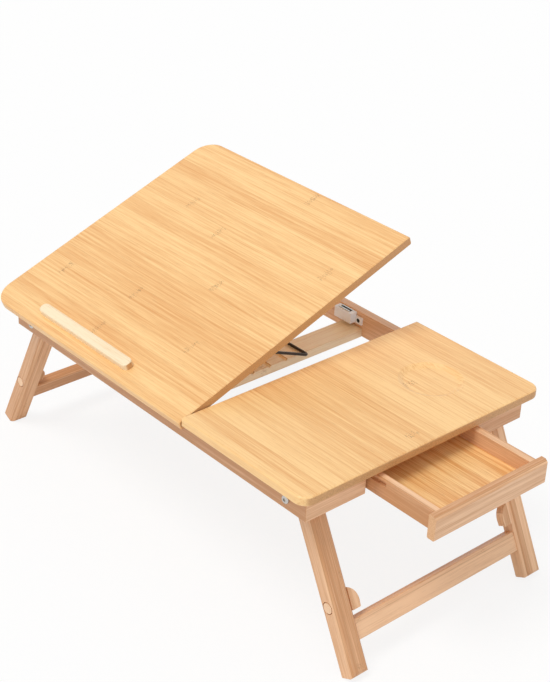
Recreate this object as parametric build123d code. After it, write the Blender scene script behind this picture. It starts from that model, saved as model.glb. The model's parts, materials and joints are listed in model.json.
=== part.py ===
from build123d import *
import os
from math import atan2, cos, hypot, radians, sin

os.makedirs("parts", exist_ok=True)

# A bamboo bed desk: a two-piece top on a shallow frame, four splayed folding legs,
# a drawer under the fixed right-hand board and a tilting left-hand board on a wire stay.
# All solids are drawn in top coordinates, in millimetres: x runs left from 0 at the right-hand
# end of the top, y runs back from 0 at its front edge, z is 0 on its upper face.
# They are saved with the origin on the floor, under the middle of the whole object.

# top
top_length = 550.0
top_depth = 350.0
top_thickness = 11.0
split_x = -190.0
split_gap = 1.0
corner_radius = 15.0
tilt_corner_radius = 26.0
edge_radius = 2.5
split_chamfer = 0.8

# rest pose
tilt_rest = 20.3
drawer_pull_length = 90.0

# cup recess in the right-hand board
cup_x = -87.0
cup_y = 265.5
cup_radius = 36.25
cup_depth = 3.5
cup_wall_width = 6.5
cup_floor_round = 7.0
cup_lip_round = 4.0

# frame under the top
overhang_front = 18.0
overhang_back = 12.0
overhang_right = 15.0
overhang_left = 22.0
rail_thickness = 12.0
rail_height = 31.0
rail_edge_round = 1.2
bay_inset = 70.0
batten_left = -200.0
batten_right = -184.0
batten_height = 8.0
slat_left = -286.0
slat_right = -255.0
slat_thickness = 11.0
notch_first = 229.0
notch_pitch = 25.0
notch_count = 4
notch_radius = 3.0
notch_depth = 2.0

# folding legs
pivot_inset = 30.0
pivot_drop = 19.0
pivot_height = 181.0
splay = 26.5
leg_width = 21.0
leg_thickness = 24.0
leg_chamfer = 3.5
leg_gap = 2.0
foot_round = 5.0
foot_corner = 3.0
foot_flat_cut = 2.0
crossbar_near_right = 144.0
crossbar_near_left = 138.0
crossbar_tall = 23.0
crossbar_thickness = 12.0
crossbar_round = 1.5
plug_reach = 122.6
plug_radius = 6.0
plug_ring = 1.0
plug_ring_depth = 2.0
plug_fit = 0.05
block_width = 10.0
block_inset = 2.0
block_reach = 11.5
block_start = 108.5
block_end = 134.0
block_tip_flat = 3.5
block_tip_round = 1.2
plug_end_wall = 5.0

# pivot bolts
bolt_radius = 3.0
bolt_fit = 0.05
bolt_head_radius = 4.8
bolt_head_height = 2.2
bolt_socket_half = 1.7
bolt_socket_depth = 1.4
washer_radius = 7.0
nut_across = 10.0
nut_height = 4.5
nut_gap = 0.4
nut_dome_height = 2.6

# drawer, drawn pulled right out
drawer_front_lap = 5.0
drawer_front_thickness = 10.1
drawer_front_top = -13.5
drawer_front_bottom = -42.0
drawer_front_round = 2.0
drawer_front_bevel = 3.5
drawer_front_inner_bevel = 1.0
drawer_edge_round = 0.8
drawer_wall = 9.0
drawer_wall_inset = 7.5
drawer_wall_top = -14.5
drawer_wall_bottom = -37.7
drawer_length = 167.0
drawer_floor_top = -32.0
drawer_floor_thickness = 3.2
drawer_floor_let_in = 3.0
groove_z = -19.5
groove_half = 2.8
groove_depth = 4.0
groove_front = 9.5
groove_tail = 5.7
pin_from_rear = 8.5
guide_length = 153.0
guide_thickness = 10.0
ledge_width = 9.0
ledge_height = 4.0
stop_pin_radius = 2.5
stop_pin_out = 6.0
stop_pin_set = 5.0
slide_gap = 0.3

# butt hinges of the tilting board
hinge_centre_left = -478.0
hinge_centre_right = -262.0
hinge_length = 40.0
hinge_leaf_width = 13.5
hinge_leaf_thickness = 1.2
hinge_knuckle_radius = 2.4
hinge_pin_radius = 1.2
hinge_fit = 0.05
hinge_clearance = 0.3
hinge_knuckles = 5
hinge_screw_spread = 12.0

# wire stay
stay_wire_radius = 1.75
stay_left = -292.0
stay_right = -245.0
stay_bend = 5.0
stay_end_length = 14.0
stay_pivot_along = 115.0
stay_pivot_drop = 4.5
stay_foot_gap = 0.3
bracket_width = 7.0
bracket_radius = 3.8
bracket_fit = 0.05
bracket_plate = 1.4
bracket_plate_reach = 12.0
bracket_screw_spread = 8.0
bracket_side_gap = 1.5

# laptop ledge on the tilting board
ledge_left = -470.0
ledge_right = -301.0
ledge_near = 15.0
ledge_far = 28.5
ledge_rise = 8.0
ledge_edge_round = 2.0

# magnetic catch under the back of the tilting board
catch_left = -294.0
catch_right = -266.0
catch_depth = 10.0
catch_top = -12.5
catch_bottom = -26.0
catch_tab_end = -255.0
catch_tab_depth = 2.5
catch_tab_top = -17.0
catch_screw_x = -260.5
catch_wall = 2.0
pole_thickness = 1.4
pole_width = 18.0
pole_top = -11.3
strike_thickness = 1.2
strike_length = 26.0
strike_width = 12.0

# wood screws
screw_radius = 1.4
screw_head_radius = 2.6
screw_head_height = 1.2
screw_length = 9.0
screw_slot_length = 2.8
screw_slot_width = 0.6
screw_slot_depth = 0.7
screw_fit = 0.05

# sizes that follow from the ones above
deck_height = pivot_height + top_thickness + pivot_drop
underside = -top_thickness
frame_bottom = underside - rail_height
rail_front = overhang_front
rail_back = top_depth - overhang_back
frame_right = -overhang_right
frame_left = -(top_length - overhang_left)
inner_front = rail_front + rail_thickness
inner_back = rail_back - rail_thickness
opening_front = inner_front + bay_inset
opening_back = inner_back - bay_inset
pivot_z = underside - pivot_drop
hinge_y = rail_front - hinge_knuckle_radius - hinge_clearance
leg_y_front = inner_front + leg_gap
leg_y_back = inner_back - leg_gap - leg_thickness
leg_length = (
    pivot_height + foot_flat_cut - leg_width / 2 * sin(radians(splay))
) / cos(radians(splay))
drawer_front_low = opening_front - drawer_front_lap
drawer_front_high = opening_back + drawer_front_lap
drawer_inner_face = frame_right + slide_gap + drawer_pull_length
drawer_outer_face = drawer_inner_face + drawer_front_thickness
drawer_rear = drawer_inner_face - drawer_length
wall_front_y = drawer_front_low + drawer_wall_inset
wall_back_y = drawer_front_high - drawer_wall_inset
pin_x = drawer_rear + pin_from_rear
foot_spread = foot_round + (leg_length - foot_round) * sin(radians(splay))
foot_spread += (leg_width / 2 - foot_round) * cos(radians(splay))
left_foot = frame_left + pivot_inset - foot_spread
tilt_front_round = hypot(hinge_y - edge_radius, top_thickness - edge_radius)
tilt_front_angle = atan2(top_thickness - edge_radius, hinge_y - edge_radius) - radians(tilt_rest)
front_extreme = hinge_y - tilt_front_round * cos(tilt_front_angle) - edge_radius
shift_x = -(drawer_outer_face + left_foot) / 2
shift_y = -(front_extreme + top_depth) / 2


def block(x0, x1, y0, y1, z0, z1):
    centre = Pos((x0 + x1) / 2, (y0 + y1) / 2, (z0 + z1) / 2)
    return centre * Box(abs(x1 - x0), abs(y1 - y0), abs(z1 - z0))


def rod_x(x0, x1, y, z, radius):
    return Pos((x0 + x1) / 2, y, z) * Rot(0, 90, 0) * Cylinder(radius, abs(x1 - x0))


def rod_y(x, y0, y1, z, radius):
    return Pos(x, (y0 + y1) / 2, z) * Rot(90, 0, 0) * Cylinder(radius, abs(y1 - y0))


def rod_z(x, y, z0, z1, radius):
    return Pos(x, y, (z0 + z1) / 2) * Cylinder(radius, abs(z1 - z0))


def save(name, shape):
    export_step(Pos(shift_x, shift_y, deck_height) * shape, "parts/" + name + ".step")


def tilted(shape):
    return shape.rotate(Axis((0, hinge_y, underside), (1, 0, 0)), tilt_rest)


# a box with all its edges eased
def eased(x0, x1, y0, y1, z0, z1, radius):
    body = block(x0, x1, y0, y1, z0, z1)
    return fillet(body.edges(), radius)


# the room that a countersunk wood screw takes, with its head's face at the origin, along -Z
def screw_room(extra=screw_fit):
    shank = rod_z(0, 0, -screw_length, -screw_head_height, screw_radius + extra)
    head = Pos(0, 0, -screw_head_height / 2) * Cone(
        screw_radius + extra, screw_head_radius + extra, screw_head_height
    )
    return head + shank


# the same screw with its cross recess
def wood_screw():
    half = screw_slot_length / 2
    wide = screw_slot_width / 2
    screw = screw_room(0.0)
    screw -= block(-half, half, -wide, wide, -screw_slot_depth, 1)
    return screw - block(-wide, wide, -half, half, -screw_slot_depth, 1)


# boards of the top
def board(x0, x1, free_x, radius):
    body = block(x0, x1, 0, top_depth, underside, 0)
    uprights = [
        edge
        for edge in body.edges().filter_by(Axis.Z)
        if abs(edge.center().X - free_x) < 0.1
    ]
    body = fillet(uprights, radius)
    fixed_x = x0 if free_x == x1 else x1
    rims = [
        edge
        for face in (body.faces().sort_by(Axis.Z)[-1], body.faces().sort_by(Axis.Z)[0])
        for edge in face.edges()
        if abs(edge.center().X - fixed_x) > 0.1
    ]
    body = fillet(rims, edge_radius)
    seam = [
        edge
        for edge in body.edges().filter_by(Axis.Y)
        if abs(edge.center().X - fixed_x) < 0.1
    ]
    return chamfer(seam, split_chamfer)


right_panel = board(split_x, 0.0, 0.0, corner_radius)
cup_floor_radius = cup_radius - cup_wall_width
right_panel -= Pos(cup_x, cup_y, -cup_depth / 2) * Cone(cup_floor_radius, cup_radius, cup_depth)
cup_floor = [
    edge
    for edge in right_panel.edges().filter_by(GeomType.CIRCLE)
    if abs(edge.radius - cup_floor_radius) < 0.01 and abs(edge.center().Z + cup_depth) < 0.01
]
right_panel = fillet(cup_floor, cup_floor_round)
cup_lip = [
    edge
    for edge in right_panel.edges().filter_by(GeomType.CIRCLE)
    if abs(edge.radius - cup_radius) < 0.01 and abs(edge.center().Z) < 0.01
]
right_panel = fillet(cup_lip, cup_lip_round)

# hinges: a fixed leaf let into the front rail and a moving leaf let into the tilting board,
# folded together when the board lies flat, with interleaved knuckles on one pin
knuckle_pitch = hinge_length / hinge_knuckles


def hinge_leaf(centre, lower):
    start = centre - hinge_length / 2
    z0 = underside - hinge_leaf_thickness if lower else underside
    leaf = block(
        start,
        start + hinge_length,
        hinge_y,
        hinge_y + hinge_leaf_width,
        z0,
        z0 + hinge_leaf_thickness,
    )
    room = hinge_knuckle_radius + hinge_clearance
    for index in range(hinge_knuckles):
        x0 = start + index * knuckle_pitch
        x1 = x0 + knuckle_pitch
        if (index % 2 == 0) == lower:
            leaf += rod_x(x0 + 0.15, x1 - 0.15, hinge_y, underside, hinge_knuckle_radius)
        else:
            leaf -= block(
                x0 - 0.15,
                x1 + 0.15,
                hinge_y - room,
                hinge_y + room,
                underside - room,
                underside + room,
            )
    return leaf - rod_x(
        start - 1, start + hinge_length + 1, hinge_y, underside, hinge_pin_radius + hinge_fit
    )


def hinge_screw_spots(centre):
    y = hinge_y + hinge_leaf_width * 0.62
    return [(centre - hinge_screw_spread, y), (centre + hinge_screw_spread, y)]


rail_screw_spots = [
    Pos(x, y, underside)
    for centre in (hinge_centre_left, hinge_centre_right)
    for x, y in hinge_screw_spots(centre)
]
board_screw_spots = [spot * Rot(180, 0, 0) for spot in rail_screw_spots]


leaf_pocket_back = hinge_y + hinge_leaf_width
rail_leaves = {}
board_leaves = {}
hinge_pins = {}
for side, centre in (("left", hinge_centre_left), ("right", hinge_centre_right)):
    rail_leaves[side] = hinge_leaf(centre, True)
    board_leaves[side] = hinge_leaf(centre, False)
    hinge_pins[side] = rod_x(
        centre - hinge_length / 2 - 0.6,
        centre + hinge_length / 2 + 0.6,
        hinge_y,
        underside,
        hinge_pin_radius,
    )
    for spot in rail_screw_spots:
        rail_leaves[side] -= spot * screw_room()
    for spot in board_screw_spots:
        board_leaves[side] -= spot * screw_room()


# rails and aprons
right_pivot = frame_right - pivot_inset
left_pivot = frame_left + pivot_inset
front_rail = eased(
    frame_left, frame_right, rail_front, inner_front, frame_bottom, underside, rail_edge_round
)
back_rail = eased(
    frame_left, frame_right, inner_back, rail_back, frame_bottom, underside, rail_edge_round
)
for x in (right_pivot, left_pivot):
    front_rail -= rod_y(x, rail_front - 1, inner_front + 1, pivot_z, bolt_radius + bolt_fit)
    back_rail -= rod_y(x, inner_back - 1, rail_back + 1, pivot_z, bolt_radius + bolt_fit)
for centre in (hinge_centre_left, hinge_centre_right):
    front_rail -= block(
        centre - hinge_length / 2,
        centre + hinge_length / 2,
        rail_front - 1,
        leaf_pocket_back,
        underside - hinge_leaf_thickness,
        underside + 1,
    )
for spot in rail_screw_spots:
    front_rail -= spot * screw_room()

left_apron = eased(
    frame_left,
    frame_left + rail_thickness,
    rail_front,
    rail_back,
    frame_bottom,
    underside,
    rail_edge_round,
)
right_apron_front = eased(
    frame_right - rail_thickness,
    frame_right,
    rail_front,
    opening_front,
    frame_bottom,
    underside,
    rail_edge_round,
)
right_apron_back = eased(
    frame_right - rail_thickness,
    frame_right,
    opening_back,
    rail_back,
    frame_bottom,
    underside,
    rail_edge_round,
)


# rails and aprons meet in mitres, so each loses the half of the corner past the diagonal
def mitre_waste(x, y, into_x, into_y, on_rail):
    near = -1
    far = rail_thickness + 1
    corner = [(near, near), (far, far), (near, far) if on_rail else (far, near), (near, near)]
    outline = Polyline([(x + into_x * across, y + into_y * back) for across, back in corner])
    return extrude(Pos(0, 0, underside) * make_face(outline), amount=rail_height + 1, both=True)


for corner in (
    (frame_right, rail_front, -1, 1),
    (frame_right, rail_back, -1, -1),
    (frame_left, rail_front, 1, 1),
    (frame_left, rail_back, 1, -1),
):
    rail_waste = mitre_waste(*corner, True)
    apron_waste = mitre_waste(*corner, False)
    front_rail -= rail_waste
    back_rail -= rail_waste
    left_apron -= apron_waste
    right_apron_front -= apron_waste
    right_apron_back -= apron_waste

cross_batten = block(
    batten_left, batten_right, inner_front, inner_back, underside - batten_height, underside
)

# slat that carries the foot of the wire stay, with its row of notches
support_slat = eased(
    slat_left,
    slat_right,
    inner_front,
    inner_back,
    frame_bottom,
    frame_bottom + slat_thickness,
    drawer_edge_round,
)
slat_top = frame_bottom + slat_thickness
for index in range(notch_count):
    support_slat -= rod_x(
        slat_left - 1,
        slat_right + 1,
        notch_first - index * notch_pitch,
        slat_top + notch_radius - notch_depth,
        notch_radius,
    )

# drawer runners
guide_right = frame_right - rail_thickness
guide_left = guide_right - guide_length
guide_front = block(
    guide_left, guide_right, opening_front - guide_thickness, opening_front, frame_bottom, underside
)
guide_back = block(
    guide_left, guide_right, opening_back, opening_back + guide_thickness, frame_bottom, underside
)
pin_holes = [
    rod_y(pin_x, opening_front - stop_pin_set, opening_front + 1, groove_z, stop_pin_radius),
    rod_y(pin_x, opening_back - 1, opening_back + stop_pin_set, groove_z, stop_pin_radius),
]
guide_front -= pin_holes[0]
guide_back -= pin_holes[1]
drawer_ledge_front = block(
    guide_left,
    guide_right,
    opening_front,
    opening_front + ledge_width,
    frame_bottom,
    frame_bottom + ledge_height,
)
drawer_ledge_back = block(
    guide_left,
    guide_right,
    opening_back - ledge_width,
    opening_back,
    frame_bottom,
    frame_bottom + ledge_height,
)
drawer_stop_pins = Compound(
    [
        rod_y(
            pin_x,
            opening_front - stop_pin_set,
            opening_front + stop_pin_out,
            groove_z,
            stop_pin_radius - 0.02,
        ),
        rod_y(
            pin_x,
            opening_back - stop_pin_out,
            opening_back + stop_pin_set,
            groove_z,
            stop_pin_radius - 0.02,
        ),
    ]
)

# drawer
drawer_front = block(
    drawer_inner_face,
    drawer_outer_face,
    drawer_front_low,
    drawer_front_high,
    drawer_front_bottom,
    drawer_front_top,
)
low_edges = drawer_front.edges().filter_by(Axis.Y).group_by(Axis.Z)[0]
drawer_front = fillet(low_edges, drawer_front_round)
top_edges = drawer_front.edges().filter_by(Axis.Y).group_by(Axis.Z)[-1].sort_by(Axis.X)
drawer_front = chamfer(top_edges[-1], drawer_front_bevel)
top_edges = drawer_front.edges().filter_by(Axis.Y).group_by(Axis.Z)[-1].sort_by(Axis.X)
drawer_front = chamfer(top_edges[0], drawer_front_inner_bevel)
drawer_front = fillet(drawer_front.edges().filter_by(Axis.Z), drawer_edge_round)


def drawer_side(y0, y1, outer_y, groove_to):
    wall = block(drawer_rear, drawer_inner_face, y0, y1, drawer_wall_bottom, drawer_wall_top)
    wall = fillet(wall.edges().filter_by(Axis.X), drawer_edge_round)
    wall -= block(
        drawer_rear + groove_tail,
        groove_front,
        outer_y,
        groove_to,
        groove_z - groove_half,
        groove_z + groove_half,
    )
    inner = y1 if outer_y < y0 + 0.01 else y0
    let_in = -drawer_floor_let_in if inner == y1 else drawer_floor_let_in
    wall -= block(
        drawer_rear - 1,
        drawer_inner_face + 1,
        inner + let_in,
        inner - let_in,
        drawer_floor_top - drawer_floor_thickness,
        drawer_floor_top,
    )
    return wall


drawer_side_front = drawer_side(
    wall_front_y, wall_front_y + drawer_wall, wall_front_y, wall_front_y + groove_depth
)
drawer_side_back = drawer_side(
    wall_back_y - drawer_wall, wall_back_y, wall_back_y, wall_back_y - groove_depth
)
drawer_back = block(
    drawer_rear,
    drawer_rear + drawer_wall,
    wall_front_y + drawer_wall,
    wall_back_y - drawer_wall,
    drawer_floor_top,
    drawer_wall_top,
)
drawer_bottom = block(
    drawer_rear,
    drawer_inner_face,
    wall_front_y + drawer_wall - drawer_floor_let_in,
    wall_back_y - drawer_wall + drawer_floor_let_in,
    drawer_floor_top - drawer_floor_thickness,
    drawer_floor_top,
)

# magnetic catch on the back rail
catch_body = block(
    catch_left, catch_right, inner_back - catch_depth, inner_back, catch_bottom, catch_top
)
catch_body += block(
    catch_right,
    catch_tab_end,
    inner_back - catch_tab_depth,
    inner_back,
    catch_bottom,
    catch_tab_top,
)
catch_middle = (catch_left + catch_right) / 2
catch_cavity = block(
    catch_middle - pole_width / 2,
    catch_middle + pole_width / 2,
    inner_back - catch_depth + catch_wall,
    inner_back - catch_wall,
    catch_bottom + catch_wall,
    catch_top + 1,
)
catch_body -= catch_cavity
pole_front_y = inner_back - catch_depth + catch_wall
pole_back_y = inner_back - catch_wall
catch_pole_plates = Compound(
    [
        block(
            catch_middle - pole_width / 2,
            catch_middle + pole_width / 2,
            pole_front_y,
            pole_front_y + pole_thickness,
            catch_bottom + catch_wall,
            pole_top,
        ),
        block(
            catch_middle - pole_width / 2,
            catch_middle + pole_width / 2,
            pole_back_y - pole_thickness,
            pole_back_y,
            catch_bottom + catch_wall,
            pole_top,
        ),
    ]
)
catch_magnet = block(
    catch_middle - pole_width / 2,
    catch_middle + pole_width / 2,
    pole_front_y + pole_thickness,
    pole_back_y - pole_thickness,
    catch_bottom + catch_wall,
    catch_top - 0.5,
)
catch_screw_z = (catch_bottom + catch_tab_top) / 2
catch_screw_place = Pos(catch_screw_x, inner_back - catch_tab_depth, catch_screw_z) * Rot(90, 0, 0)
catch_screw = catch_screw_place * wood_screw()
catch_body -= catch_screw_place * screw_room()
back_rail -= catch_screw_place * screw_room()

# tilting board, drawn flat and then tilted with everything it carries
tilt_panel = board(-top_length, split_x - split_gap, -top_length, tilt_corner_radius)
for centre in (hinge_centre_left, hinge_centre_right):
    start = centre - hinge_length / 2
    tilt_panel -= block(
        start,
        start + hinge_length,
        hinge_y,
        leaf_pocket_back,
        underside - 1,
        underside + hinge_leaf_thickness,
    )
    tilt_panel -= rod_x(
        start - 1, start + hinge_length + 1, hinge_y, underside, hinge_knuckle_radius + 0.4
    )
for spot in board_screw_spots:
    tilt_panel -= spot * screw_room()

strike_y0 = inner_back - catch_depth / 2 - strike_width / 2
strike_plate = block(
    catch_middle - strike_length / 2,
    catch_middle + strike_length / 2,
    strike_y0,
    strike_y0 + strike_width,
    underside,
    underside + strike_thickness,
)
tilt_panel -= strike_plate
strike_screw_place = Pos(catch_middle, strike_y0 + strike_width / 2, underside) * Rot(180, 0, 0)
strike_screw = strike_screw_place * wood_screw()
strike_plate -= strike_screw_place * screw_room()
tilt_panel -= strike_screw_place * screw_room()

laptop_ledge = block(ledge_left, ledge_right, ledge_near, ledge_far, 0, ledge_rise)
laptop_ledge = fillet(laptop_ledge.edges().filter_by(Axis.Z), (ledge_far - ledge_near) / 2 - 0.2)
laptop_ledge = fillet(laptop_ledge.faces().sort_by(Axis.Z)[-1].edges(), ledge_edge_round)

# brackets of the wire stay
stay_pivot_z = underside - stay_pivot_drop
brackets = {}
bracket_screws = []
for side, inner_end, out in (("right", stay_right, 1), ("left", stay_left, -1)):
    x0 = inner_end + out * (stay_bend + bracket_side_gap)
    x1 = x0 + out * bracket_width
    bracket = block(
        min(x0, x1),
        max(x0, x1),
        stay_pivot_along - bracket_radius,
        stay_pivot_along + bracket_radius,
        stay_pivot_z,
        underside,
    )
    bracket += rod_x(min(x0, x1), max(x0, x1), stay_pivot_along, stay_pivot_z, bracket_radius)
    bracket += block(
        min(x0, x1),
        max(x0, x1),
        stay_pivot_along - bracket_plate_reach,
        stay_pivot_along + bracket_plate_reach,
        underside - bracket_plate,
        underside,
    )
    bracket -= rod_x(
        min(x0, x1) - 1,
        max(x0, x1) + 1,
        stay_pivot_along,
        stay_pivot_z,
        stay_wire_radius + bracket_fit,
    )
    for offset in (-bracket_screw_spread, bracket_screw_spread):
        spot = Pos((x0 + x1) / 2, stay_pivot_along + offset, underside - bracket_plate)
        driven = spot * Rot(180, 0, 0)
        bracket_screws.append(driven * wood_screw())
        bracket -= driven * screw_room()
        tilt_panel -= driven * screw_room()
    brackets[side] = bracket

# wire stay: a U of round wire whose ends turn outward through the brackets
pivot_point = tilted(Pos(0, stay_pivot_along, stay_pivot_z) * Box(1, 1, 1)).center()
foot_z = slat_top + stay_wire_radius + stay_foot_gap
stay_length = hypot(notch_first - pivot_point.Y, foot_z - pivot_point.Z)
arm = Vector(
    0, (notch_first - pivot_point.Y) / stay_length, (foot_z - pivot_point.Z) / stay_length
)
stay_plane = Plane(
    origin=(0, pivot_point.Y, pivot_point.Z),
    x_dir=(1, 0, 0),
    z_dir=Vector(1, 0, 0).cross(arm),
)
stay_path = FilletPolyline(
    (stay_right + stay_end_length, 0),
    (stay_right, 0),
    (stay_right, stay_length),
    (stay_left, stay_length),
    (stay_left, 0),
    (stay_left - stay_end_length, 0),
    radius=stay_bend,
)
stay_path = stay_plane * stay_path
stay_section = Plane(origin=stay_path @ 0, z_dir=stay_path % 0) * Circle(stay_wire_radius)
wire_stay = sweep(stay_section, path=stay_path)


# folding legs, drawn pointing straight down from the pivot at the origin and then splayed,
# cut square at the foot, with the outer corner of the end rounded
def leg_blank(y0, side):
    leg = Pos(0, y0 + leg_thickness / 2, (leg_width / 2 - leg_length) / 2) * Box(
        leg_width, leg_thickness, leg_length + leg_width / 2
    )
    crown = leg.edges().filter_by(Axis.Y).group_by(Axis.Z)[-1]
    leg = fillet(crown, leg_width / 2 - 0.1)
    leg = chamfer(leg.edges().filter_by(Axis.Z), leg_chamfer)
    ends = leg.edges().filter_by(Axis.Y).group_by(Axis.Z)[0].sort_by(Axis.X)
    return fillet(ends[-1] if side > 0 else ends[0], foot_round)


def splayed(shape, pivot_x, side):
    return Pos(pivot_x, 0, pivot_z) * Rot(0, -side * splay, 0) * shape


# a fin on the leg's inner face: a long arc out to the reach, a short flat and a square end
def finger_block(y_face, out, side):
    arc_end = -(block_end - block_tip_flat)
    arc_middle = (
        block_reach * sin(radians(45)),
        arc_end - (arc_end + block_start) * cos(radians(45)),
    )
    outline = [
        ThreePointArc((0, -block_start), arc_middle, (block_reach, arc_end)),
        Polyline((block_reach, arc_end), (block_reach, -block_end), (0, -block_end)),
        Line((0, -block_end), (0, -block_start)),
    ]
    outer_x = side * (leg_width / 2 - block_inset)
    inner_x = outer_x - side * block_width
    plane = Plane(origin=(min(outer_x, inner_x), y_face, 0), x_dir=(0, out, 0), z_dir=(out, 0, 0))
    solid = extrude(plane * make_face(outline), amount=out * block_width)
    tip = [
        edge
        for edge in solid.edges().filter_by(Axis.X)
        if abs(edge.center().Z + block_end) < 0.01 and abs(edge.center().Y - y_face) > 1
    ]
    return fillet(tip, block_tip_round)


def leg_pair(pivot_x, side, crossbar_near):
    pieces = {}
    floor = block(
        pivot_x - 2 * leg_length,
        pivot_x + 2 * leg_length,
        0,
        top_depth,
        -deck_height - leg_length,
        -deck_height,
    )
    for row, y0, inner_y, outer_y, out in (
        ("front", leg_y_front, leg_y_front + leg_thickness, leg_y_front, 1),
        ("back", leg_y_back, leg_y_back, leg_y_back + leg_thickness, -1),
    ):
        leg = leg_blank(y0, side)
        leg -= rod_y(0, y0 - 1, y0 + leg_thickness + 1, 0, bolt_radius + bolt_fit)
        plug_end = inner_y - out * plug_end_wall
        leg -= rod_y(0, outer_y - out, plug_end, -plug_reach, plug_radius + plug_fit)
        leg -= rod_y(
            0,
            outer_y - out,
            outer_y + out * plug_ring_depth,
            -plug_reach,
            plug_radius + plug_ring,
        )
        leg = splayed(leg, pivot_x, side) - floor
        sole = [
            edge
            for edge in leg.edges().filter_by(Axis.Y)
            if abs(edge.center().Z + deck_height) < 0.1
        ]
        sole.sort(key=lambda edge: side * edge.center().X)
        leg = fillet(sole[0], foot_corner)
        pieces["leg_" + row] = leg
        finger = finger_block(inner_y, out, side)
        pieces["finger_block_" + row] = splayed(finger, pivot_x, side)
        plug = rod_y(0, outer_y, plug_end, -plug_reach, plug_radius)
        pieces["leg_plug_" + row] = splayed(plug, pivot_x, side)
    bar = block(
        -crossbar_thickness / 2,
        crossbar_thickness / 2,
        leg_y_front + leg_thickness,
        leg_y_back,
        -(crossbar_near + crossbar_tall),
        -crossbar_near,
    )
    bar = fillet(bar.edges().filter_by(Axis.Y), crossbar_round)
    pieces["crossbar"] = splayed(bar, pivot_x, side)
    return pieces


# pivot bolts run from the outer faces of the rails through spacer washers and legs
def pivot_bolt(x, outer_y, out):
    shank_end = outer_y + out * (
        rail_thickness + leg_gap + leg_thickness + nut_gap + nut_height - 0.5
    )
    bolt = rod_y(x, outer_y, shank_end, pivot_z, bolt_radius)
    head = rod_y(x, outer_y - out * bolt_head_height, outer_y, pivot_z, bolt_head_radius)
    rim = head.edges().filter_by(GeomType.CIRCLE).sort_by(Axis.Y)
    outer_rim = rim[0] if out > 0 else rim[-1]
    head = fillet([outer_rim], bolt_head_height - 0.6)
    socket_plane = Plane(
        origin=(x, outer_y - out * bolt_head_height, pivot_z), z_dir=(0, out, 0)
    )
    socket = RegularPolygon(bolt_socket_half, 6, major_radius=False)
    return bolt + head - extrude(socket_plane * socket, amount=bolt_socket_depth)


def pivot_washer(x, face_y, out):
    ring = rod_y(x, face_y, face_y + out * leg_gap, pivot_z, washer_radius)
    return ring - rod_y(
        x, face_y - out, face_y + out * (leg_gap + 1), pivot_z, bolt_radius + bolt_fit
    )


def cap_nut(x, face_y, out):
    hexagon = RegularPolygon(nut_across / 2, 6, major_radius=False)
    plane = Plane(origin=(x, face_y, pivot_z), z_dir=(0, out, 0))
    nut = extrude(plane * hexagon, amount=nut_height)
    dome_face = face_y + out * nut_height
    dome = rod_y(x, dome_face, dome_face + out * nut_dome_height, pivot_z, nut_across / 2 - 0.6)
    rims = dome.edges().filter_by(GeomType.CIRCLE).sort_by(Axis.Y)
    tip = rims[-1] if out > 0 else rims[0]
    dome = fillet([tip], nut_dome_height - 0.4)
    bore = rod_y(
        x, face_y - out, face_y + out * (nut_height - 0.5), pivot_z, bolt_radius + 0.02
    )
    return nut + dome - bore


bolts = []
washers = []
nuts = []
for x in (right_pivot, left_pivot):
    for outer_y, out in ((rail_front, 1), (rail_back, -1)):
        inner_y = outer_y + out * rail_thickness
        nut_y = inner_y + out * (leg_gap + leg_thickness + nut_gap)
        bolts.append(pivot_bolt(x, outer_y, out))
        washers.append(pivot_washer(x, inner_y, out))
        nuts.append(cap_nut(x, nut_y, out))

# saved pieces
save("right_panel", right_panel)
save("front_rail", front_rail)
save("back_rail", back_rail)
save("left_apron", left_apron)
save("right_apron_front", right_apron_front)
save("right_apron_back", right_apron_back)
save("cross_batten", cross_batten)
save("support_slat", support_slat)
save("drawer_guide_front", guide_front)
save("drawer_guide_back", guide_back)
save("drawer_ledge_front", drawer_ledge_front)
save("drawer_ledge_back", drawer_ledge_back)
save("drawer_stop_pins", drawer_stop_pins)
save("catch_body", catch_body)
save("catch_magnet", catch_magnet)
save("catch_pole_plates", catch_pole_plates)
save("catch_screw", catch_screw)
save("hinge_rail_screws", Compound([spot * wood_screw() for spot in rail_screw_spots]))
save("pivot_bolts", Compound(bolts))
save("pivot_washers", Compound(washers))
save("pivot_nuts", Compound(nuts))
for side in ("left", "right"):
    save("hinge_rail_leaf_" + side, rail_leaves[side])
    save("hinge_pin_" + side, hinge_pins[side])
    save("hinge_board_leaf_" + side, tilted(board_leaves[side]))
    save("stay_bracket_" + side, tilted(brackets[side]))
save("tilt_panel", tilted(tilt_panel))
save("laptop_ledge", tilted(laptop_ledge))
board_screws = Compound([spot * wood_screw() for spot in board_screw_spots])
save("hinge_board_screws", tilted(board_screws))
save("strike_plate", tilted(strike_plate))
save("strike_screw", tilted(strike_screw))
save("stay_bracket_screws", tilted(Compound(bracket_screws)))
save("wire_stay", wire_stay)
save("drawer_front", drawer_front)
save("drawer_side_front", drawer_side_front)
save("drawer_side_back", drawer_side_back)
save("drawer_back", drawer_back)
save("drawer_bottom", drawer_bottom)
for side_name, pivot_x, side, crossbar_near in (
    ("right", right_pivot, 1, crossbar_near_right),
    ("left", left_pivot, -1, crossbar_near_left),
):
    for piece_name, piece in leg_pair(pivot_x, side, crossbar_near).items():
        save(piece_name + "_" + side_name, piece)

print("origin shift", round(shift_x, 3), round(shift_y, 3), deck_height)
print("stay pivot", pivot_point, "length", round(stay_length, 3))
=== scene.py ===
import json
import math

import bmesh
import bpy
from mathutils import Euler, Matrix, Vector

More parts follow.
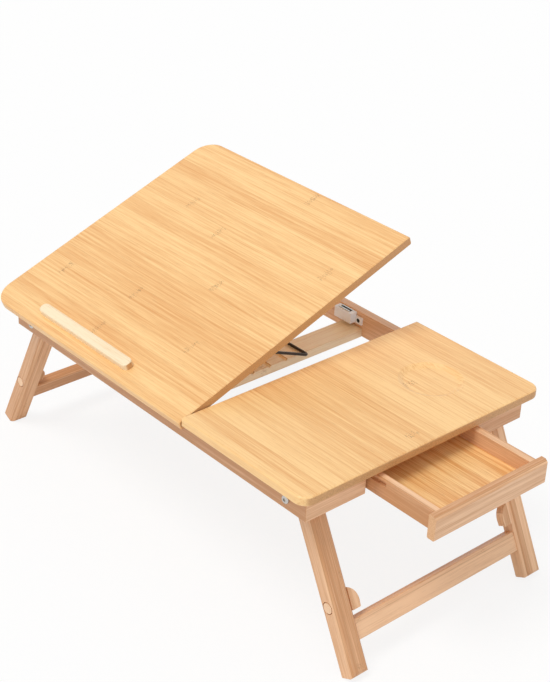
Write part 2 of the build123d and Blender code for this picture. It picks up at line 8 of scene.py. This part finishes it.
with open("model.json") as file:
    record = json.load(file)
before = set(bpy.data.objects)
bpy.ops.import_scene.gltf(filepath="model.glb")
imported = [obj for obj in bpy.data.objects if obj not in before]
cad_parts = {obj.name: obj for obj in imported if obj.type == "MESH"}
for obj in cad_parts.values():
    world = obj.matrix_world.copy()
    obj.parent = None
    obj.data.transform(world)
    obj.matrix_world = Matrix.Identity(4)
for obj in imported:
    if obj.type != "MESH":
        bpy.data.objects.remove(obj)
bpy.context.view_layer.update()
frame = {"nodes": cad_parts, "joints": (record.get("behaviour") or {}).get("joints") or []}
nodes = frame["nodes"]
joints = {joint["name"]: joint for joint in frame["joints"]}
print("frame loaded:", len(nodes), "pieces")


# one socket of a material, so that shader maths reads as plain expressions
class Wire:
    def __init__(self, tree, socket=None):
        self.tree = tree
        self.socket = socket

    def node(self, kind, settings=None, inputs=None, output=0):
        made = self.tree.nodes.new(kind)
        for key, value in (settings or {}).items():
            setattr(made, key, value)
        for key, value in (inputs or {}).items():
            if isinstance(value, Wire):
                self.tree.links.new(value.socket, made.inputs[key])
            else:
                made.inputs[key].default_value = value
        return Wire(self.tree, made.outputs[output] if len(made.outputs) else None)

    def maths(self, operation, *values):
        return self.node("ShaderNodeMath", {"operation": operation}, dict(enumerate(values)))

    def __add__(self, other):
        return self.maths("ADD", self, other)

    __radd__ = __add__

    def __sub__(self, other):
        return self.maths("SUBTRACT", self, other)

    def __rsub__(self, other):
        return self.maths("SUBTRACT", other, self)

    def __mul__(self, other):
        return self.maths("MULTIPLY", self, other)

    __rmul__ = __mul__

    def __truediv__(self, other):
        return self.maths("DIVIDE", self, other)

    def floor(self):
        return self.maths("FLOOR", self)

    def fract(self):
        return self.maths("FRACT", self)

    def size(self):
        return self.maths("ABSOLUTE", self)

    def smooth(self, low, high):
        values = {"Value": self, "From Min": low, "From Max": high}
        return self.node("ShaderNodeMapRange", {"interpolation_type": "SMOOTHSTEP"}, values)

    def blend(self, first, second):
        picked = {"data_type": "RGBA", "clamp_factor": True}
        return self.node("ShaderNodeMix", picked, {0: self, 6: first, 7: second}, 2)

    def parts(self):
        made = self.node("ShaderNodeSeparateXYZ", {}, {0: self})
        return [Wire(self.tree, socket) for socket in made.socket.node.outputs]

    def grain(self, stretch, detail=2.0, roughness=0.55):
        product = {"operation": "MULTIPLY"}
        scaled = self.node("ShaderNodeVectorMath", product, {0: self, 1: stretch})
        values = {"Vector": scaled, "Scale": 1.0, "Detail": detail, "Roughness": roughness}
        return self.node("ShaderNodeTexNoise", {}, values)


def newMaterial(name):
    material = bpy.data.materials.new(name)
    material.use_nodes = True
    tree = material.node_tree
    tree.nodes.clear()
    return material, Wire(tree)


def finishMaterial(material, start, sockets):
    shader = start.node("ShaderNodeBsdfPrincipled", {}, sockets)
    start.node("ShaderNodeOutputMaterial", {}, {"Surface": shader})
    return material


# how finely each noise runs along the fibre and across it, per metre
grains = {
    "wave": (3.0, 14.0, 14.0),
    "fibre": (16.0, 820.0, 820.0),
    "streak": (7.0, 330.0, 330.0),
    "cloud": (3.2, 16.0, 16.0),
    "dash": (62.0, 1500.0, 1500.0),
    "pores": (340.0, 1150.0, 1150.0),
    "endPores": (300.0, 1300.0, 1300.0),
}
seedSteps = (0.371, 0.0137, 0.0071)

# between which values each marking fades in; band, ring and marks are metres
fades = {
    "dash": (0.60, 0.74),
    "pores": (0.54, 0.66),
    "band": (0.0015, 0.0065),
    "ring": (0.0002, 0.0030),
    "markAlong": (0.0025, 0.0060),
    "markAcross": (0.0060, 0.0105),
    "endways": (0.70, 0.95),
    "endPores": (0.35, 0.72),
}


# bamboo strips glued side by side: along is the fibre, across counts the strips
def bamboo(name, look, turn, move, seed):
    material, start = newMaterial(name)
    objectPlace = start.node("ShaderNodeTexCoord", {}, {}, "Object")
    facing = start.node("ShaderNodeTexCoord", {}, {}, "Normal")
    shift = [distance + seed * step for distance, step in zip(move, seedSteps)]
    place = start.node(
        "ShaderNodeMapping", {}, {"Vector": objectPlace, "Location": shift, "Rotation": turn}
    )
    normal = start.node(
        "ShaderNodeMapping", {"vector_type": "VECTOR"}, {"Vector": facing, "Rotation": turn}
    )
    along, across, _ = place.parts()
    wave = place.grain(grains["wave"], 1.0)
    strips = (across + wave * look["wander"]) / look["strip"]
    index = strips.floor()
    perStrip = {"noise_dimensions": "1D"}
    tint = start.node("ShaderNodeTexWhiteNoise", perStrip, {"W": index + seed})
    pick = start.node("ShaderNodeTexWhiteNoise", perStrip, {"W": index * 1.7 + (seed + 31.4)})

    fibre = place.grain(grains["fibre"], 3.0, 0.6)
    streak = place.grain(grains["streak"], 2.0)
    cloud = place.grain(grains["cloud"], 2.0)
    dash = place.grain(grains["dash"], 1.0)
    tone = (
        (tint - 0.5) * look["stripContrast"]
        + (fibre - 0.5) * look["fibreContrast"]
        + (streak - 0.5) * look["streakContrast"]
        + (cloud - 0.5) * look["cloudContrast"]
        + look["depth"]
    )
    colour = tone.blend(look["pale"], look["deep"])
    colour = (dash.smooth(*fades["dash"]) * look["dashes"]).blend(colour, look["dark"])

    # joints of the cane: a faint band with brown pores, once in a while on a strip
    cell = ((along + wave * 0.006) / look["jointPitch"] + pick * 7.3).fract()
    offset = (cell - 0.5).size() * look["jointPitch"]
    pores = place.grain(grains["pores"], 1.0).smooth(*fades["pores"])
    chosen = pick.smooth(1.0 - look["jointShare"], 1.02 - look["jointShare"])
    band = (1.0 - offset.smooth(*fades["band"])) * chosen
    ring = (1.0 - offset.smooth(*fades["ring"])) * chosen
    east, north, _ = objectPlace.parts()
    for markX, markY in look.get("marks", ()):
        besideX = (east - markX).size().smooth(*fades["markAlong"])
        besideY = (north + wave * 0.004 - markY).size().smooth(*fades["markAcross"])
        band = band + (1.0 - besideX) * (1.0 - besideY)
    colour = (band * pores * look["joints"]).blend(colour, look["pore"])
    colour = (ring * (look["joints"] * 0.12)).blend(colour, look["dark"])

    # glue lines between strips and the darker cut ends of the fibres
    fromMiddle = (strips.fract() - 0.5).size()
    glueHalf = look["glueWidth"] / look["strip"]
    glue = fromMiddle.smooth(0.5 - glueHalf, 0.5) * (tint * 0.6 + 0.4)
    colour = (glue * look["glue"]).blend(colour, look["dark"])
    endways = normal.parts()[0].size().smooth(*fades["endways"])
    endPores = place.grain(grains["endPores"], 2.0)
    endColour = endPores.smooth(*fades["endPores"]).blend(look["endPale"], look["endDark"])
    colour = endways.blend(colour, endColour)

    height = fibre * 0.6 + streak * 0.4 - glue * 0.5
    relief = {"Strength": look["relief"], "Distance": 0.0004, "Height": height}
    bump = start.node("ShaderNodeBump", {}, relief)
    return finishMaterial(
        material,
        start,
        {
            "Base Color": colour,
            "Roughness": fibre * 0.16 + look["gloss"] + endways * 0.15,
            "Normal": bump,
            "Coat Weight": look["coat"],
            "Coat Roughness": look["coatRoughness"],
        },
    )


# zinc-plated or bare steel with fine drawing marks and a faint mottle
def steel(name, look):
    material, start = newMaterial(name)
    place = start.node("ShaderNodeTexCoord", {}, {}, "Object")
    marks = place.grain((90.0, 2400.0, 2400.0), 2.0)
    mottle = place.grain((420.0, 420.0, 420.0), 3.0)
    colour = (mottle * 0.6 + marks * 0.4).blend(look["low"], look["high"])
    relief = {"Strength": 0.12, "Distance": 0.0002, "Height": marks}
    bump = start.node("ShaderNodeBump", {}, relief)
    return finishMaterial(
        material,
        start,
        {
            "Base Color": colour,
            "Metallic": look["metal"],
            "Roughness": mottle * 0.18 + marks * 0.08 + look["gloss"],
            "Normal": bump,
        },
    )


# moulded plastic with a fine eroded texture
def moulded(name, look):
    material, start = newMaterial(name)
    place = start.node("ShaderNodeTexCoord", {}, {}, "Object")
    fine = place.grain((1600.0, 1600.0, 1600.0), 2.0)
    soft = place.grain((90.0, 90.0, 90.0), 2.0)
    colour = soft.blend(look["low"], look["high"])
    relief = {"Strength": 0.15, "Distance": 0.0002, "Height": fine}
    bump = start.node("ShaderNodeBump", {}, relief)
    return finishMaterial(
        material,
        start,
        {"Base Color": colour, "Roughness": fine * 0.12 + look["gloss"], "Normal": bump},
    )


# where the fixed board shows brown pores of the cane's joints, in metres
markPlaces = ((0.234, -0.005), (0.157, 0.071))
boardLook = {
    "strip": 0.021,
    "wander": 0.0012,
    "stripContrast": 0.42,
    "fibreContrast": 1.5,
    "streakContrast": 1.25,
    "cloudContrast": 0.5,
    "depth": 0.27,
    "dashes": 0.22,
    "joints": 0.75,
    "jointPitch": 0.24,
    "jointShare": 0.26,
    "glue": 0.16,
    "glueWidth": 0.0006,
    "relief": 0.16,
    "gloss": 0.34,
    "coat": 0.18,
    "coatRoughness": 0.28,
    "pale": (0.985, 0.64, 0.285, 1),
    "deep": (0.74, 0.34, 0.10, 1),
    "dark": (0.42, 0.20, 0.07, 1),
    "pore": (0.36, 0.17, 0.06, 1),
    "endPale": (0.70, 0.39, 0.165, 1),
    "endDark": (0.50, 0.25, 0.095, 1),
}
frameLook = {
    **boardLook,
    "strip": 0.0078,
    "wander": 0.0005,
    "stripContrast": 1.0,
    "fibreContrast": 1.3,
    "glue": 0.55,
    "glueWidth": 0.0005,
    "jointPitch": 0.19,
    "jointShare": 0.14,
    "depth": 0.52,
    "pale": (0.92, 0.585, 0.35, 1),
    "deep": (0.60, 0.29, 0.125, 1),
    "endPale": (0.80, 0.48, 0.26, 1),
    "endDark": (0.66, 0.36, 0.17, 1),
}
# pale bamboo for the laptop ledge and support slat: partly their own paler tone, partly painted
# light, its depth lowered so the slat in the shade under the tilt board reads lighter
paleAndPaintedLightLook = {
    **boardLook,
    "strip": 0.018,
    "depth": 0.08,
    "pale": (0.97, 0.80, 0.55, 1),
    "deep": (0.80, 0.50, 0.24, 1),
    "joints": 0.45,
}
sideBoardLook = {
    **boardLook,
    "jointShare": 0.0,
    "joints": 0.95,
    "depth": 0.24,
    "marks": markPlaces,
}
# the tilt board is the same bamboo as the fixed board, painted darker (depth 0.40) as painted
# shade to offset the stronger light on its raised face
tiltBoardShadedLook = {**boardLook, "depth": 0.40}
drawerFloorLook = {
    **boardLook,
    "fibreContrast": 2.4,
    "streakContrast": 2.3,
    "depth": 0.40,
    "dashes": 0.4,
}
plugLook = {**frameLook, "endPale": (0.93, 0.64, 0.42, 1), "endDark": (0.80, 0.50, 0.29, 1)}
platedLook = {
    "low": (0.42, 0.41, 0.39, 1),
    "high": (0.74, 0.73, 0.70, 1),
    "metal": 1.0,
    "gloss": 0.22,
}
wireLook = {
    "low": (0.028, 0.022, 0.018, 1),
    "high": (0.085, 0.068, 0.055, 1),
    "metal": 0.7,
    "gloss": 0.30,
}
blackLook = {
    "low": (0.015, 0.014, 0.013, 1),
    "high": (0.05, 0.047, 0.045, 1),
    "metal": 0.4,
    "gloss": 0.36,
}
whiteLook = {"low": (0.86, 0.86, 0.89, 1), "high": (0.96, 0.96, 0.97, 1), "gloss": 0.34}

# how each piece's own fibre direction is turned onto the pattern's first axis
tiltTurn = math.radians(joints["panel_tilt"]["range_deg"][0])
tiltPivot = Vector(joints["panel_tilt"]["pos_m"])
boardShift = -(Euler((tiltTurn, 0, 0)).to_matrix() @ tiltPivot)
legSplay = math.radians(26.5)
fibres = {
    "lengthways": ((0.0, 0.0, 0.0), (0.0, 0.0, 0.0)),
    "frontToBack": ((0.0, 0.0, -math.pi / 2), (0.0, 0.0, 0.0)),
    "tilted": ((tiltTurn, 0.0, 0.0), tuple(boardShift)),
    "rightLeg": ((0.0, legSplay - math.pi / 2, 0.0), (0.0, 0.0, 0.0)),
    "leftLeg": ((0.0, -legSplay - math.pi / 2, 0.0), (0.0, 0.0, 0.0)),
}
woodPieces = {
    "right_panel": (sideBoardLook, "lengthways"),
    "tilt_panel": (tiltBoardShadedLook, "tilted"),
    "laptop_ledge": (paleAndPaintedLightLook, "tilted"),
    "front_rail": (frameLook, "lengthways"),
    "back_rail": (frameLook, "lengthways"),
    "left_apron": (frameLook, "frontToBack"),
    "right_apron_front": (frameLook, "frontToBack"),
    "right_apron_back": (frameLook, "frontToBack"),
    "cross_batten": (frameLook, "frontToBack"),
    "support_slat": (paleAndPaintedLightLook, "frontToBack"),
    "drawer_guide_front": (frameLook, "lengthways"),
    "drawer_guide_back": (frameLook, "lengthways"),
    "drawer_ledge_front": (frameLook, "lengthways"),
    "drawer_ledge_back": (frameLook, "lengthways"),
    "drawer_front": (frameLook, "frontToBack"),
    "drawer_side_front": (frameLook, "lengthways"),
    "drawer_side_back": (frameLook, "lengthways"),
    "drawer_back": (frameLook, "frontToBack"),
    "drawer_bottom": (drawerFloorLook, "lengthways"),
    "crossbar_right": (frameLook, "frontToBack"),
    "crossbar_left": (frameLook, "frontToBack"),
}
for side in ("right", "left"):
    for piece in ("leg_front", "leg_back", "finger_block_front", "finger_block_back"):
        woodPieces[piece + "_" + side] = (frameLook, side + "Leg")
    for piece in ("leg_plug_front", "leg_plug_back"):
        woodPieces[piece + "_" + side] = (plugLook, "frontToBack")

plated = steel("platedSteel", platedLook)
wireSteel = steel("stayWire", wireLook)
blackened = steel("blackenedSteel", blackLook)
catchPlastic = moulded("catchPlastic", whiteLook)
otherPieces = {
    "wire_stay": wireSteel,
    "catch_body": catchPlastic,
    "catch_magnet": blackened,
    "catch_screw": blackened,
}


def dress(node, material):
    target = nodes[node].data
    target.materials.clear()
    target.materials.append(material)


for number, name in enumerate(sorted(nodes)):
    if name in woodPieces:
        look, direction = woodPieces[name]
        turn, move = fibres[direction]
        dress(name, bamboo("bamboo_" + name, look, turn, move, 1.0 + number))
    else:
        dress(name, otherPieces.get(name, plated))
print("materials on", len(nodes), "pieces")

# camera, solved from the straight edges of the object, with the picture's own frame
cameraView = {
    "place": (1.124998, -1.015923, 1.0587),
    "azimuth": 47.6,
    "elevation": 29.1,
    "roll": -2.6,
    "focalPixels": 1538.6,
    "pictureHeight": 682,
}


def makeCamera(settings):
    azimuth = math.radians(settings["azimuth"])
    elevation = math.radians(settings["elevation"])
    roll = math.radians(settings["roll"])
    ahead = Vector(
        (
            -math.sin(azimuth) * math.cos(elevation),
            math.cos(azimuth) * math.cos(elevation),
            -math.sin(elevation),
        )
    )
    level = Vector((math.cos(azimuth), math.sin(azimuth), 0))
    drop = ahead.cross(level)
    right = level * math.cos(roll) + drop * math.sin(roll)
    down = drop * math.cos(roll) - level * math.sin(roll)
    data = bpy.data.cameras.new("viewCamera")
    data.sensor_fit = "VERTICAL"
    data.sensor_height = 24
    data.lens = 24 * settings["focalPixels"] / settings["pictureHeight"]
    data.clip_end = 60
    camera = bpy.data.objects.new("viewCamera", data)
    bpy.context.scene.collection.objects.link(camera)
    turned = Matrix((right, -down, -ahead)).transposed()
    camera.matrix_world = Matrix.Translation(settings["place"]) @ turned.to_4x4()
    bpy.context.scene.camera = camera


makeCamera(cameraView)

stageLook = {"size": 14.0, "drop": 0.0004, "floor": (0.93, 0.93, 0.93, 1), "lift": 0.84}


def makeFloor(settings):
    shape = bmesh.new()
    bmesh.ops.create_grid(shape, x_segments=1, y_segments=1, size=settings["size"] / 2)
    bmesh.ops.translate(shape, verts=shape.verts, vec=(0, 0, -settings["drop"]))
    mesh = bpy.data.meshes.new("paleFloor")
    shape.to_mesh(mesh)
    shape.free()
    floor = bpy.data.objects.new("paleFloor", mesh)
    bpy.context.scene.collection.objects.link(floor)
    material, start = newMaterial("paleFloor")
    matt = start.node("ShaderNodeBsdfDiffuse", {}, {"Color": settings["floor"]})
    glow = start.node("ShaderNodeEmission", {}, {"Color": (1, 1, 1, 1), "Strength": 1.0})
    seen = start.node("ShaderNodeLightPath", {}, {}, "Is Camera Ray") * settings["lift"]
    both = start.node("ShaderNodeMixShader", {}, {0: seen, 1: matt, 2: glow})
    start.node("ShaderNodeOutputMaterial", {}, {"Surface": both})
    mesh.materials.append(material)


makeFloor(stageLook)

lightLook = {
    "sky": (0.97, 0.985, 1.0, 1),
    "skyStrength": 0.585,
    "lamps": {
        "keyLight": {"strength": 1.42, "width": 26.0, "from": (-0.06, -0.42, 0.905)},
        "fillLight": {"strength": 0.22, "width": 60.0, "from": (0.80, -0.22, 0.56)},
    },
    "lampColour": (1.0, 0.975, 0.94),
}


def makeLight(settings):
    world = bpy.data.worlds.new("studio")
    bpy.context.scene.world = world
    world.use_nodes = True
    world.node_tree.nodes.clear()
    start = Wire(world.node_tree)
    sky = start.node(
        "ShaderNodeBackground", {}, {"Color": settings["sky"], "Strength": settings["skyStrength"]}
    )
    white = start.node("ShaderNodeBackground", {}, {"Color": (1, 1, 1, 1), "Strength": 1.0})
    rays = start.node("ShaderNodeLightPath").socket.node.outputs
    seen = Wire(start.tree, rays["Is Camera Ray"]) + Wire(start.tree, rays["Is Glossy Ray"])
    seen = (seen + Wire(start.tree, rays["Is Transmission Ray"])).smooth(0.0, 1.0)
    both = start.node("ShaderNodeMixShader", {}, {0: seen, 1: sky, 2: white})
    start.node("ShaderNodeOutputWorld", {}, {"Surface": both})
    for name, values in settings["lamps"].items():
        lamp = bpy.data.lights.new(name, "SUN")
        lamp.energy = values["strength"]
        lamp.angle = math.radians(values["width"])
        lamp.color = settings["lampColour"]
        hung = bpy.data.objects.new(name, lamp)
        hung.rotation_euler = Vector(values["from"]).to_track_quat("Z", "Y").to_euler()
        bpy.context.scene.collection.objects.link(hung)


makeLight(lightLook)
bpy.context.scene.view_settings.view_transform = "Standard"
print("camera, floor and light ready")
